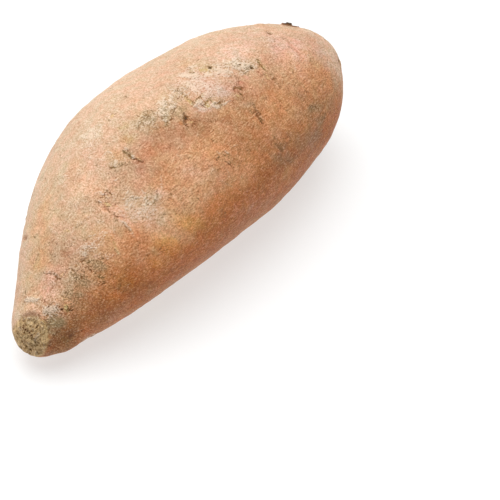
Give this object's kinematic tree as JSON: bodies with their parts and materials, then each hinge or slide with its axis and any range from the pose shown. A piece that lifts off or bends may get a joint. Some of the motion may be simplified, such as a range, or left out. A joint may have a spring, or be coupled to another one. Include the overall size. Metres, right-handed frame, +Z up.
{
  "type": "sweet potato",
  "caption": "Whole raw sweet potato lying on a small flat spot: broad in the middle, rounded at the crown and drawn in to a short broken stub at the tail.",
  "frame": {"origin": "on the resting plane, under the middle of the root's box", "axes": "+X along the root, from the broken tail stub to the rounded crown; +Y across it; +Z up, away from the surface it rests on"},
  "size_m": [0.168, 0.0732, 0.0675],
  "materials": {
    "skin": "thin matte root skin, tan with pink and orange areas, finely grained, with pale scuffs, dark pits and corky scars"
  },
  "bodies": {
    "root": {"sweet_potato": "skin"}
  },
  "joints": []
}
